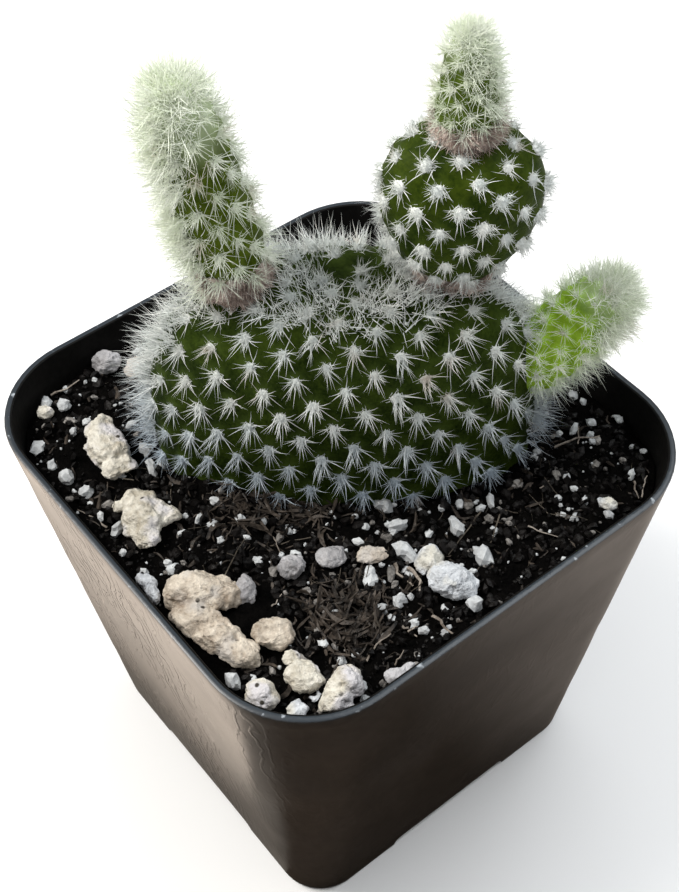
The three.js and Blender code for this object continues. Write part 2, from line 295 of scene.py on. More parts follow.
def addNode(tree, kind, inputs=None, **values):
    node = tree.nodes.new(kind)
    for key, value in values.items():
        setattr(node, key, value)
    setInputs(tree, node, inputs or {})
    return node


def objectPlace(tree):
    return addNode(tree, "ShaderNodeTexCoord").outputs["Object"]


def axisOf(tree, axis):
    return addNode(tree, "ShaderNodeSeparateXYZ", {"Vector": objectPlace(tree)}).outputs[axis]


def clouds(tree, scale, detail=2.0, roughness=0.5):
    inputs = {"Vector": objectPlace(tree), "Scale": scale, "Detail": detail, "Roughness": roughness}
    return addNode(tree, "ShaderNodeTexNoise", inputs).outputs["Fac"]


def remap(tree, value, low, high, first=0.0, last=1.0, curve="LINEAR"):
    inputs = {"Value": value, "From Min": low, "From Max": high, "To Min": first, "To Max": last}
    return addNode(tree, "ShaderNodeMapRange", inputs, interpolation_type=curve).outputs["Result"]


def blend(tree, share, first, second):
    inputs = {"Factor": share, "A": first, "B": second}
    return addNode(tree, "ShaderNodeMix", inputs, data_type="RGBA").outputs["Result"]


def calculate(tree, operation, first, second):
    return addNode(tree, "ShaderNodeMath", {0: first, 1: second}, operation=operation).outputs[0]


def speckleGroup():
    group = bpy.data.node_groups.new("speckle", "ShaderNodeTree")
    for name, way, kind in (
        ("Dark", "INPUT", "Color"), ("Light", "INPUT", "Color"), ("Cloud Scale", "INPUT", "Float"),
        ("Speck Scale", "INPUT", "Float"), ("Colour", "OUTPUT", "Color"), ("Height", "OUTPUT", "Float"),
    ):
        group.interface.new_socket(name, in_out=way, socket_type="NodeSocket" + kind)
    into = addNode(group, "NodeGroupInput").outputs
    cloud = clouds(group, into["Cloud Scale"], 3)
    speck = clouds(group, into["Speck Scale"], 5, 0.65)
    share = remap(group, calculate(group, "ADD", cloud, speck), 0.75, 1.25)
    colour = blend(group, share, into["Dark"], into["Light"])
    addNode(group, "NodeGroupOutput", {"Colour": colour, "Height": speck})
    return group


def useSpeckle(tree, dark, light, cloud, speck):
    inputs = {"Dark": dark, "Light": light, "Cloud Scale": cloud, "Speck Scale": speck}
    node = addNode(tree, "ShaderNodeGroup", node_tree=speckle)
    setInputs(tree, node, inputs)
    return node.outputs["Colour"], node.outputs["Height"]


def useColour(tree, shader, colour, height, strength, distance):
    # the finished colour, and a bump of that strength and depth in metres
    bump = addNode(tree, "ShaderNodeBump", {"Height": height, "Strength": strength, "Distance": distance})
    setInputs(tree, shader, {"Base Color": colour, "Normal": bump.outputs["Normal"]})


def markedBy(tree, attribute):
    return addNode(tree, "ShaderNodeAttribute", attribute_name=attribute).outputs["Fac"]


def speckledMaterial(name, dark, light, scales, bump, roughness, specular):
    # a plain speckled look: the scales of its clouds and specks, and the strength and depth of its bump
    material, tree, shader = newMaterial(name, roughness, specular)
    colour, grain = useSpeckle(tree, dark, light, *scales)
    useColour(tree, shader, colour, grain, *bump)
    return material


def setFloatAttribute(piece, name, values):
    attribute = piece.data.attributes.new(name, "FLOAT", "POINT")
    attribute.data.foreach_set("value", values)


print("stage: camera and light")
addCamera()
addLights()
speckle = speckleGroup()

# Pot: a thin tapered shell with rounded corners, feet and drain holes

potSize = {
    "height": 60, "topWidth": 63.5, "topCorner": 12.7, "baseWidth": 48, "baseCorner": 6,
    "wall": 1.0, "floorUnderside": 2.4, "floorThickness": 1.2, "footWidth": 2.2, "rimRound": 0.28,
    "archWidth": 20, "archHeight": 1.8, "archRound": 1.2, "drainRadius": 1.8, "drainOffset": 13,
    "hollowGap": 0.06, "cornerSteps": 14, "sideSteps": 22, "wallRows": 26, "ripple": 0.07,
    "rippledWall": 1.0, "plainWall": 0.03,
}


def wallAt(height, inset):
    # width and corner radius of the wall at a height, moved inwards by the inset
    share = height / potSize["height"]
    width = potSize["baseWidth"] + (potSize["topWidth"] - potSize["baseWidth"]) * share - 2 * inset
    corner = potSize["baseCorner"] + (potSize["topCorner"] - potSize["baseCorner"]) * share - inset
    return width, corner


def outlinePoint(index, height, inset):
    width, corner = wallAt(height, inset)
    corner = max(corner, 1)
    straight = width / 2 - corner
    steps = potSize["cornerSteps"] + potSize["sideSteps"]
    side, step = divmod(index % (4 * steps), steps)
    middle = ((1, -1), (1, 1), (-1, 1), (-1, -1))[side]
    start = (side - 1) * math.pi / 2
    turn = start + min(step / potSize["cornerSteps"], 1) * math.pi / 2
    x = middle[0] * straight + corner * math.cos(turn)
    y = middle[1] * straight + corner * math.sin(turn)
    past = max(step - potSize["cornerSteps"], 0) / potSize["sideSteps"]
    x += -math.sin(turn) * 2 * straight * past
    y += math.cos(turn) * 2 * straight * past
    return x, y


def potProfile():
    size = potSize
    r = size["rimRound"]
    top = size["height"]
    inside = size["floorUnderside"] + size["floorThickness"]
    rows = [(0.0, size["footWidth"]), (0.0, 0.35), (0.12, 0.08), (0.4, 0.0)]
    count = size["wallRows"]
    rows += [(0.4 + (top - r - 0.4) * step / count, 0.0) for step in range(1, count + 1)]
    rows += [(top - r * 0.3, r * 0.3), (top, r)]
    rows += [(top, size["wall"] - r), (top - r * 0.3, size["wall"] - r * 0.3), (top - r, size["wall"])]
    rows += [(inside + 1.2, size["wall"]), (inside + 0.3, size["wall"] + 0.4), (inside, size["wall"] + 1.4)]
    rows += [(inside, size["wall"] + 8)]
    return rows


def makePot():
    rows = potProfile()
    around = 4 * (potSize["cornerSteps"] + potSize["sideSteps"])
    pot = built(bpy.ops.mesh.primitive_circle_add, vertices=around, radius=30 * mm, fill_type="NOTHING")
    editAll()
    for _ in rows[1:]:
        bpy.ops.mesh.extrude_region_move(TRANSFORM_OT_translate={"value": (0, 0, 2 * mm)})
    leaveEdit()
    # each ring of vertices goes to its own height and inset on the pot's outline
    for vertex in pot.data.vertices:
        row = round(vertex.co.z / (2 * mm))
        height, inset = rows[row]
        turn = math.atan2(vertex.co.y, vertex.co.x) % (2 * math.pi)
        index = round(turn / (2 * math.pi) * around) % around
        x, y = outlinePoint(index, height, inset)
        wave = 0.0
        if 1 < height < potSize["height"] - 1 and inset < 0.1:
            spot = Vector((x * 0.09, y * 0.09, height * 0.16))
            wave = potSize["ripple"] * (noise.noise(spot) * 1.6 - 0.2)
        push = 1 + min(wave, 0.0) / 30
        vertex.co = Vector((x * push, y * push, height)) * mm
    return pot


def fillOpenRing(pot, low, high):
    # closes the open ring of edges that lies between two heights
    pickNothingOf(pot)
    counts = Counter(key for face in pot.data.polygons for key in face.edge_keys)
    for edge in pot.data.edges:
        heights = [pot.data.vertices[index].co.z / mm for index in edge.vertices]
        edge.select = counts[edge.key] == 1 and low <= min(heights) and max(heights) <= high
    enterEdit()
    bpy.ops.mesh.select_mode(type="EDGE")
    bpy.ops.mesh.edge_face_add()
    bpy.ops.mesh.select_mode(type="VERT")
    leaveEdit()


def cutWith(piece, cutter):
    pick(piece)
    modifier = piece.modifiers.new("cut", "BOOLEAN")
    modifier.operation = "DIFFERENCE"
    modifier.solver = "EXACT"
    modifier.object = cutter
    bpy.ops.object.modifier_apply(modifier=modifier.name)
    dropPieces(cutter)


def cutPot(pot):
    size = potSize
    # the hollow under the floor
    hollow = built(bpy.ops.mesh.primitive_cube_add, size=1, location=(0, 0, 0))
    width = size["baseWidth"] - 2 * size["footWidth"] - size["hollowGap"]
    hollow.scale = (width * mm, width * mm, 2 * size["floorUnderside"] * mm)
    applyPlace(hollow)
    enterEdit()
    bpy.ops.mesh.select_all(action="DESELECT")
    bpy.ops.mesh.select_mode(type="EDGE")
    leaveEdit()
    for edge in hollow.data.edges:
        first, last = (hollow.data.vertices[index].co.z for index in edge.vertices)
        edge.select = abs(first - last) > size["floorUnderside"] * mm
    enterEdit()
    bpy.ops.mesh.bevel(offset=(size["baseCorner"] - size["footWidth"]) * mm, segments=6, affect="EDGES")
    bpy.ops.mesh.select_mode(type="VERT")
    leaveEdit()
    cutWith(pot, hollow)
    # the low arches in the middle of each side
    for turn in (0, math.pi / 2):
        arch = built(bpy.ops.mesh.primitive_cube_add, size=1, location=(0, 0, 0))
        arch.scale = (size["archWidth"] * mm, 80 * mm, 2 * size["archHeight"] * mm)
        arch.rotation_euler.z = turn
        applyPlace(arch)
        editAll()
        bpy.ops.mesh.bevel(offset=size["archRound"] * mm, segments=3, affect="EDGES")
        leaveEdit()
        cutWith(pot, arch)
    for x, y in ((1, 1), (-1, 1), (-1, -1), (1, -1)):
        place = Vector((x * size["drainOffset"], y * size["drainOffset"], 3)) * mm
        drain = built(bpy.ops.mesh.primitive_cylinder_add, vertices=32, radius=size["drainRadius"] * mm,
                      depth=6 * mm, location=place)
        applyPlace(drain)
        cutWith(pot, drain)


potLook = {
    "dark": (0.004, 0.003, 0.0022), "light": (0.020, 0.0145, 0.0105), "lip": (0.018, 0.025, 0.033),
    # the crease colour is painted sheen, paler than the wall
    "worn": (0.40, 0.44, 0.48), "creaseAndSheen": (0.05, 0.042, 0.035), "creaseDepth": 0.00045,
    "wave": {"Scale": 170, "Distortion": 16, "Detail": 2.5, "Detail Scale": 1.5},
    "grain": (60, 900), "gloss": (0.28, 0.46), "lipHeight": 0.35, "wornScale": 620, "patchScale": 90,
    # the inner tones are painted shade, darker than the outside wall
    "innerShadeDark": (0.0012, 0.0011, 0.001), "innerShadeLight": (0.006, 0.0055, 0.005), "innerGrain": (120, 1500),
}


def potMaterial():
    material, tree, shader = newMaterial("potPlastic", 0.36)
    colour, _ = useSpeckle(tree, potLook["dark"], potLook["light"], *potLook["grain"])
    # the lip is bluer, with worn pale specks
    top = potSize["height"]
    rim = remap(tree, axisOf(tree, "Z"), (top - potLook["lipHeight"]) * mm, (top - 0.05) * mm)
    worn = remap(tree, clouds(tree, potLook["wornScale"], 4), 0.64, 0.72)
    colour = blend(tree, rim, colour, potLook["lip"])
    colour = blend(tree, calculate(tree, "MULTIPLY", rim, worn), colour, potLook["worn"])
    # flow lines of the moulding: fine creases that run down the wall in short waves, in patches; their paler
    # colour is painted sheen
    stretch = addNode(tree, "ShaderNodeMapping", {"Vector": objectPlace(tree), "Scale": (1, 1, 0.5)})
    inputs = {"Vector": stretch.outputs["Vector"], **potLook["wave"]}
    wave = addNode(tree, "ShaderNodeTexWave", inputs, wave_type="BANDS", bands_direction="X")
    crest = remap(tree, wave.outputs["Fac"], 0.5, 1.0, curve="SMOOTHSTEP")
    patches = remap(tree, clouds(tree, potLook["patchScale"]), 0.38, 0.62)
    patched = calculate(tree, "MULTIPLY", crest, patches)
    creaseAndSheen = calculate(tree, "MULTIPLY", patched, markedBy(tree, "ripple"))
    # painted sheen: the creases are coloured paler than the wall
    colour = blend(tree, creaseAndSheen, colour, potLook["creaseAndSheen"])
    useColour(tree, shader, colour, creaseAndSheen, 1.0, potLook["creaseDepth"])
    # the gloss is uneven, as on a handled pot
    gloss = remap(tree, clouds(tree, 55, 5), 0.3, 0.7, *potLook["gloss"])
    setInputs(tree, shader, {"Roughness": gloss})
    return material


def paintInside(pot):
    # the inner wall gets darker tones, which are painted shade, and a duller finish than the outside
    tones = potLook["innerShadeDark"], potLook["innerShadeLight"], potLook["innerGrain"]
    material = speckledMaterial("potInside", *tones, (0.3, 0.0002), 0.6, 0.12)
    pot.data.materials.append(material)
    inside = (potSize["floorUnderside"] + potSize["floorThickness"] + 1) * mm
    for face in pot.data.polygons:
        outward = face.normal.x * face.center.x + face.normal.y * face.center.y
        if face.center.z > inside and outward < -0.3 * math.hypot(face.center.x, face.center.y):
            face.material_index = 1


def markRipples(pot):
    # the creases and their painted sheen are full on the flat of the left wall and fade before its corners, rim
    # and foot
    amounts = []
    plain, full = potSize["plainWall"], potSize["rippledWall"]
    for vertex in pot.data.vertices:
        x, y, z = vertex.co / mm
        flat = clamp((-y - abs(x) - 2) / 8) if math.hypot(x, y) > 22 else 0.0
        flat *= 1 - 0.95 * clamp((x - 1) / 12)
        if not 2 < z < potSize["height"] - 1.5:
            flat = 0.0
        amounts.append(plain + (full - plain) * flat)
    setFloatAttribute(pot, "ripple", amounts)


print("stage: pot")
pot = makePot()
fillOpenRing(pot, -0.5, 0.5)
fillOpenRing(pot, 2.5, 4.5)
cutPot(pot)
shadeSmooth(pot, 35)
markRipples(pot)
finishPiece(pot, potMaterial(), "pot_plastic", ["pot"])
paintInside(pot)
pot.name = "potShell"
addCards(pot)

# Stems: the five grown segments

usualStem = {
    "skew": 1, "taper": 0, "mother": "pad_main", "kinds": "bristle", "size": 1.0, "paleFrom": 9, "scarTo": 0,
    "fleeceFrom": "tip", "fleeceShares": (0.2, 1.0), "fleeceSize": 1.0, "crown": 0,
}
stemSet = {
    "pad_main": {
        "base": (1, 0.6, 37), "tip": (1, 3.3, 82.3), "width": 45, "depth": 20.6, "squareness": 2.8,
        "segments": 252, "rings": 116, "tufts": 356, "mound": 0.26, "slot": "stem_main",
        "dark": (0.006, 0.014, 0.0006), "light": (0.036, 0.058, 0.006), "kinds": "open", "size": 1.07,
        "mother": None, "sweep": -0.05, "fleece": 170, "fleeceFrom": "margin", "fleeceShares": (0.38, 1.0),
        "crown": 0.38,
    },
    "pad_left_ear": {
        "base": (-9.6, 3, 77.5), "tip": (-15, 2, 108), "width": 8.8, "depth": 8.8, "squareness": 2.8,
        "taper": 0.16, "segments": 96, "rings": 110, "tufts": 96, "mound": 0.35, "slot": "stem_young",
        "dark": (0.026, 0.046, 0.0012), "light": (0.078, 0.115, 0.006), "sweep": 0.12,
        "paleFrom": 0.72, "scarTo": 0.22, "fleece": 420, "fleeceFrom": "side",
    },
    "pad_middle": {
        "base": (12.5, 3, 79.6), "tip": (14.2, 4, 99.8), "width": 17, "depth": 13, "squareness": 2.3,
        "skew": 1.6, "segments": 144, "rings": 90, "tufts": 86, "mound": 0.26, "slot": "stem_middle",
        "dark": (0.010, 0.024, 0.0010), "light": (0.042, 0.064, 0.004), "kinds": "compact", "size": 1.14,
        "sweep": 0.0, "scarTo": 0.17, "fleece": 22, "fleeceFrom": "margin", "fleeceShares": (0.1, 0.75),
        "fleeceSize": 0.55,
    },
    "pad_top": {
        "base": (13.8, 4, 98), "tip": (13.3, 4, 111.5), "width": 7.3, "depth": 7.3, "squareness": 2.6,
        "taper": 0.42, "segments": 80, "rings": 64, "tufts": 74, "mound": 0.3, "slot": "stem_top",
        "dark": (0.024, 0.044, 0.002), "light": (0.068, 0.105, 0.010), "size": 0.76,
        "mother": "pad_middle", "sweep": 0.5, "paleFrom": 0.78, "scarTo": 0.29, "fleece": 130,
    },
    "pad_right_ear": {
        "base": (20, 2.5, 65), "tip": (32.1, 3.9, 78), "width": 9.2, "depth": 9.2, "squareness": 2.7,
        "taper": 0.24, "segments": 96, "rings": 80, "tufts": 84, "mound": 0.35, "slot": "stem_bright",
        "dark": (0.11, 0.22, 0.004), "light": (0.30, 0.48, 0.034), "size": 0.92, "sweep": 0.6,
        "paleFrom": 0.74, "fleece": 230,
    },
}
stemSet = {name: {**usualStem, **stem} for name, stem in stemSet.items()}
skinSet = {
    "areole": 0.95, "rough": ((240, 0.10), (900, 0.03)), "ragged": ((700, 0.06),), "sink": 0.08,
    "scarFade": 0.05, "paleFade": 0.3, "roughness": 0.5, "specular": 0.04, "grain": (230, 2300),
    # the tip tint is painted light: it paints the young tips paler in place of the glow of their thin hair
    "bump": (0.35, 0.00025), "tints": {"scar": (0.22, 0.155, 0.122), "tip": (0.66, 0.76, 0.52)},
}
soilLevel = 55.5
soilMound = {"at": (-11, -5.8), "height": 1.6, "spread": 6}


def soilHeight(across, away):
    lumps = 0.35 * math.sin(0.61 * across + 1.3) * math.cos(0.53 * away - 0.4)
    lumps += 0.25 * math.sin(0.97 * across - 0.73 * away + 2.1)
    lumps += 0.15 * math.sin(1.5 * across + 1.2 * away)
    gap = math.hypot(across - soilMound["at"][0], away - soilMound["at"][1]) / soilMound["spread"]
    return soilLevel + lumps + soilMound["height"] * math.exp(-gap * gap)


def axesOf(stem):
    base = turned(*stem["base"])
    along = turned(*stem["tip"]) - base
    length = along.length
    along.normalize()
    front = turned(0, -1)
    front = (front - along * front.dot(along)).normalized()
    return base, along, front, front.cross(along), length


def swell(stem, share):
    along = min(max(share, 0), 1)
    place = abs(2 * along ** stem["skew"] - 1)
    return (1 - stem["taper"] * along) * max(0, 1 - place ** stem["squareness"]) ** (1 / stem["squareness"])


def skinPoint(stem, share, angle):
    base, along, front, across, length = stem["axes"]
    size = swell(stem, share)
    point = base + along * (share * length)
    point += across * (size * stem["width"] / 2 * mm * math.cos(angle))
    return point + front * (size * stem["depth"] / 2 * mm * math.sin(angle))


def isInside(stem, point, grow):
    base, along, front, across, length = stem["axes"]
    offset = point - base
    share = (offset.dot(along) + grow) / (length + 2 * grow)
    size = swell(stem, share)
    if size <= 0:
        return False
    x = offset.dot(across) / (size * (stem["width"] / 2 * mm + grow))
    y = offset.dot(front) / (size * (stem["depth"] / 2 * mm + grow))
    return x * x + y * y < 1


def runningTotals(steps, stretch):
    totals = [0.0]
    for step in range(1, steps + 1):
        totals.append(totals[-1] + stretch(step / steps, (step - 1) / steps))
    return totals


def reachOf(totals, share):
    wanted = share * totals[-1]
    for index in range(1, len(totals)):
        if totals[index] >= wanted:
            part = (wanted - totals[index - 1]) / (totals[index] - totals[index - 1])
            return (index - 1 + part) / (len(totals) - 1)
    return 1.0


nudge = 0.01


def spotOn(stem, share, angle):
    # a point of the skin and the way towards the tip there
    ahead = skinPoint(stem, min(share + nudge, 1), angle)
    lengthwise = ahead - skinPoint(stem, max(share - nudge, 0), angle)
    lengthwise.normalize()
    return skinPoint(stem, share, angle), lengthwise


def tuftPlaces(stem):
    steps = 80

    def strip(share, before):
        gap = (skinPoint(stem, share, 0) - skinPoint(stem, before, 0)).length
        return gap * (swell(stem, share) + swell(stem, before) + 0.02)

    def girthStep(share, before):
        turn = 2 * math.pi
        return (skinPoint(stem, 0.5, share * turn) - skinPoint(stem, 0.5, before * turn)).length

    area = runningTotals(steps, strip)
    girth = runningTotals(steps, girthStep)
    base, along, *_, length = stem["axes"]
    core = base + along * (length / 2)
    places = []
    for index in range(stem["tufts"]):
        share = reachOf(area, (index + 0.5) / stem["tufts"])
        angle = reachOf(girth, (index * goldenTurn) % 1) * 2 * math.pi
        centre, lengthwise = spotOn(stem, share, angle)
        sideways = skinPoint(stem, share, angle + nudge) - skinPoint(stem, share, angle - nudge)
        normal = lengthwise.cross(sideways).normalized()
        if normal.dot(centre - core) < 0:
            normal.negate()
        places.append({"centre": centre, "normal": normal, "lengthwise": lengthwise, "share": share})
    return places


def makeStem(name, stem):
    piece = built(bpy.ops.mesh.primitive_uv_sphere_add, segments=stem["segments"],
                  ring_count=stem["rings"], radius=1)
    for vertex in piece.data.vertices:
        share = (1 + max(-1.0, min(1.0, vertex.co.z))) / 2
        vertex.co = skinPoint(stem, share, math.atan2(vertex.co.y, vertex.co.x))
    piece.data.update()
    tree = KDTree(len(stem["places"]))
    for index, place in enumerate(stem["places"]):
        tree.insert(place["centre"], index)
    tree.balance()
    normals = [vertex.normal.copy() for vertex in piece.data.vertices]
    near, scar, tip = [], [], []
    base = stem["axes"][0]
    for vertex, normal in zip(piece.data.vertices, normals):
        gap = tree.find(vertex.co)[2] / mm
        hump = math.exp(-(gap / skinSet["areole"]) ** 2)
        rough = layered(vertex.co, skinSet["rough"])
        near.append(hump)
        height = (vertex.co - base).dot(stem["axes"][1]) / stem["axes"][4]
        ragged = layered(vertex.co, skinSet["ragged"])
        scar.append(clamp((stem["scarTo"] + ragged - height) / skinSet["scarFade"]))
        # the tip mark carries the painted light of the pale tips
        tip.append(clamp((height - stem["paleFrom"]) / skinSet["paleFade"]))
        vertex.co += normal * ((stem["mound"] * hump + rough - skinSet["sink"]) * mm)
    setFloatAttribute(piece, "areole", near)
    setFloatAttribute(piece, "scar", scar)
    setFloatAttribute(piece, "tip", tip)
    pick(piece)
    bpy.ops.object.shade_smooth()
    piece.name = name.replace("pad_", "stem_")
    return piece


def skinMaterial(name, stem):
    material, tree, shader = newMaterial(name, skinSet["roughness"], skinSet["specular"])
    colour, grain = useSpeckle(tree, stem["dark"], stem["light"], *skinSet["grain"])
    pale = tuple(min(1, value * 1.5 + 0.01) for value in stem["light"])
    # the tip tint is painted light standing in for glowing hair; the areole and scar tints are the skin's own
    # colour
    for attribute, tint in {"areole": pale, **skinSet["tints"]}.items():
        colour = blend(tree, markedBy(tree, attribute), colour, tint)
    useColour(tree, shader, colour, grain, *skinSet["bump"])
    return material


# Spine tufts: a few made one by one from single spines, then copied to every place

tuftSet = {
    "open": {
        "long": 30, "short": 64, "longLength": (1.4, 3.2), "shortLength": (0.5, 1.05), "thick": 0.055,
        "hair": 0.043, "lean": (10, 82), "wool": 0.46, "woolHeight": 0.36, "spread": 0.24, "droop": 0.34,
    },
    "compact": {
        "long": 28, "short": 90, "longLength": (0.9, 2.3), "shortLength": (0.5, 0.95), "thick": 0.050,
        "hair": 0.040, "lean": (15, 85), "wool": 0.52, "woolHeight": 0.42, "spread": 0.28, "droop": 0.2,
    },
    "bristle": {
        "long": 40, "short": 40, "longLength": (1.4, 3.7), "shortLength": (0.5, 1.2), "thick": 0.050,
        "hair": 0.040, "lean": (8, 78), "wool": 0.40, "woolHeight": 0.3, "spread": 0.26, "droop": 0.12,
    },
    "fleece": {
        "long": 15, "short": 9, "longLength": (1.7, 4.2), "shortLength": (0.7, 2.0), "thick": 0.052,
        "hair": 0.040, "lean": (4, 56), "wool": 0.2, "woolHeight": 0.15, "spread": 0.7, "droop": 0.05,
    },
    "fluff": {
        "long": 0, "short": 60, "longLength": (1, 1), "shortLength": (0.4, 1.15), "thick": 0.05,
        "hair": 0.055, "lean": (0, 80), "wool": 0.45, "woolHeight": 0.3, "spread": 0.42, "droop": 0,
    },
}


def makeSpine(bent):
    spine = built(bpy.ops.mesh.primitive_cone_add, vertices=3, radius1=1, radius2=0, depth=1,
                  location=(0, 0, 0.5))
    applyPlace(spine)
    if bent:
        editAll()
        bpy.ops.mesh.bisect(plane_co=(0, 0, 0.5), plane_no=(0, 0, 1))
        bpy.ops.transform.translate(value=(1.3, 0, 0))
        leaveEdit()
    return spine


def makeWool(radius, height, seed):
    wool = built(bpy.ops.mesh.primitive_ico_sphere_add, subdivisions=2 if radius > 0.3 else 1, radius=1)
    for vertex in wool.data.vertices:
        rough = 1 + 0.35 * noise.noise(vertex.co * 2.3 + Vector((seed, 0, 0)))
        x, y, z = vertex.co
        vertex.co = Vector((x * radius, y * radius, z * height)) * (rough * mm)
    return wool


def spineMatrix(root, direction, thick, length, roll):
    turn = direction.to_track_quat("Z", "Y").to_matrix().to_4x4()
    shape = Matrix.Diagonal((thick, thick, length, 1))
    return Matrix.Translation(root) @ turn @ Matrix.Rotation(roll, 4, "Z") @ shape


def makeTuft(kind, seed, straight, bent):
    setting = tuftSet[kind]
    draw = random.Random(seed)
    parts = [makeWool(setting["wool"], setting["woolHeight"], seed)]
    full = 2 * math.pi

    def addSpine(source, around, lean, length, thick, droop):
        wide = math.sin(lean)
        direction = Vector((wide * math.cos(around), wide * math.sin(around), math.cos(lean)))
        direction = (direction + Vector((0, -droop, 0))).normalized()
        off = setting["spread"]
        root = Vector((draw.gauss(0, off), draw.gauss(0, off), 0.05)) * mm
        thick *= draw.uniform(0.8, 1.2)
        shape = spineMatrix(root, direction, thick * mm, length * mm, draw.uniform(0, full))
        parts.append(copyPlaced(source, shape))

    for index in range(setting["long"]):
        around = (index + draw.random()) / setting["long"] * full
        lean = math.radians(draw.uniform(*setting["lean"]))
        length = draw.uniform(*setting["longLength"]) * (0.9 - 0.1 * math.sin(around))
        addSpine(bent, around, lean, length, setting["thick"], setting["droop"])
    for index in range(setting["short"]):
        lean, around = math.radians(draw.uniform(0, 85)), draw.uniform(0, full)
        addSpine(straight, around, lean, draw.uniform(*setting["shortLength"]), setting["hair"], 0)
    return joinPieces(parts, f"{kind}Tuft{seed}")


def placeMatrix(place, size, roll, sweep):
    up = (place["normal"] + place["lengthwise"] * sweep).normalized()
    forward = (place["lengthwise"] - up * place["lengthwise"].dot(up)).normalized()
    side = forward.cross(up)
    basis = Matrix((side, forward, up)).transposed().to_4x4()
    shape = Matrix.Rotation(roll, 4, "Z") @ Matrix.Scale(size, 4)
    return Matrix.Translation(place["centre"]) @ basis @ shape


def fleecePlaces(stem):
    # extra hair: on a young stem towards its tip and outer side, on the old one along its margin
    draw = random.Random(stem["fleece"])
    base, along, *_, length = stem["axes"]
    outward = turned(1 if stem["base"][0] > 0 else -1, 0.4).normalized()
    low, high = stem["fleeceShares"]
    places = []
    for _ in range(stem["fleece"]):
        if stem["fleeceFrom"] == "margin":
            share = high - (high - low) * draw.random()
            angle = draw.choice((0, math.pi)) + draw.gauss(0, 0.15)
            if draw.random() < stem["crown"]:
                share, angle = 1 - 0.07 * draw.random(), draw.uniform(0, 2 * math.pi)
        else:
            share = high - (high - low) * draw.random() ** (1.1 if stem["fleeceFrom"] == "side" else 1.8)
            angle = draw.uniform(0, 2 * math.pi)
        centre, lengthwise = spotOn(stem, share, angle)
        middle = base + along * (share * length)
        if stem["fleeceFrom"] == "margin":
            normal = (centre - base - along * (length * 0.5)).normalized()
        else:
            normal = ((centre - middle).normalized() + along * max(0, share * 2.6 - 1.9)).normalized()
            least = 0.4 - share * 0.35 if share < 0.68 else 0.9 - share * 1.6
            if share < 0.93 and normal.dot(outward) < least:
                continue
        places.append({"centre": centre, "normal": normal, "lengthwise": lengthwise, "share": share})
    return places


def placeTufts(name, stem, tufts, fleece):
    draw = random.Random(len(name) * 31)
    mother = stemSet.get(stem["mother"])
    children = [other for other in stemSet.values() if other["mother"] == name]
    groups = {"": [], "_back": []}
    frontWay = stem["axes"][2]
    middle = stem["axes"][0] + stem["axes"][1] * (stem["axes"][4] / 2)
    chosen = [(place, draw.choice(tufts), stem["sweep"], 1) for place in stem["places"]
              if place["share"] > stem["scarTo"] * 0.85]
    combed = 0.0 if stem["fleeceFrom"] == "margin" else 0.5
    chosen += [(place, draw.choice(fleece), combed, stem["fleeceSize"]) for place in fleecePlaces(stem)]
    for place, variant, sweep, scale in chosen:
        size = stem["size"] * scale * draw.uniform(0.88, 1.14)
        roll = draw.uniform(-0.35, 0.35)
        across, away = unturned(place["centre"])
        if place["centre"].z < (soilHeight(across, away) + 0.3) * mm:
            continue
        if mother and isInside(mother, place["centre"], 0.2 * mm):
            continue
        if any(isInside(child, place["centre"], 0.5 * mm) for child in children):
            continue
        behind = name == "pad_main" and (place["centre"] - middle).dot(frontWay) < 0
        spot = placeMatrix(place, size, roll, sweep)
        groups["_back" if behind else ""].append(copyPlaced(variant, spot))
    label = name.replace("pad_", "spines_")
    return [joinPieces(parts, label + ending) for ending, parts in groups.items() if parts]


spineLook = {
    "oldSpines": ((0.66, 0.70, 0.69), (0.95, 0.96, 0.93)),
    "youngSpines": ((0.80, 0.86, 0.70), (0.97, 0.99, 0.92)),
    # low is the painted shade of the lowest tufts, fading out between these heights
    "grain": (300, 1500), "low": (0.52, 0.60, 0.68), "paintedShadeFrom": 57, "paintedShadeTo": 70,
    "stain": (0.50, 0.38, 0.28), "stainScale": 210, "stainShare": 0.5,
}


def spineMaterial(name):
    material, tree, shader = newMaterial(name, 0.5, 0.35)
    colour, _ = useSpeckle(tree, *spineLook[name], *spineLook["grain"])
    # the lowest tufts get a cooler, duller colour that is painted shade, and a few patches are stained brown
    high = remap(tree, axisOf(tree, "Z"), spineLook["paintedShadeFrom"] * mm, spineLook["paintedShadeTo"] * mm)
    colour = blend(tree, high, spineLook["low"], colour)
    stain = remap(tree, clouds(tree, spineLook["stainScale"]), 0.62, 0.74, 0, spineLook["stainShare"])
    colour = blend(tree, stain, colour, spineLook["stain"])
    setInputs(tree, shader, {"Base Color": colour})
    return material


print("stage: stems")
for stem in stemSet.values():
    stem["axes"] = axesOf(stem)
for stem in stemSet.values():
    stem["places"] = tuftPlaces(stem)
for name, stem in stemSet.items():
    skin = skinMaterial(name.replace("pad_", "skin_"), stem)
    finishPiece(makeStem(name, stem), skin, stem["slot"], [name])

print("stage: spines")
straightSpine = makeSpine(False)
bentSpine = makeSpine(True)
tuftVariants = {
    kind: [makeTuft(kind, seed, straightSpine, bentSpine) for seed in range(1, 7)] for kind in tuftSet
}
oldSpines, youngSpines = spineMaterial("oldSpines"), spineMaterial("youngSpines")
for name, stem in stemSet.items():
    for piece in placeTufts(name, stem, tuftVariants[stem["kinds"]], tuftVariants["fleece"]):
        finishPiece(piece, youngSpines if stem["kinds"] == "bristle" else oldSpines)
fluffTufts = tuftVariants.pop("fluff")
dropPieces(straightSpine, bentSpine, *(tuft for tufts in tuftVariants.values() for tuft in tufts))

# Soil: lumpy dark mix, with crumbs, bark slivers, fibres and perlite strewn on it

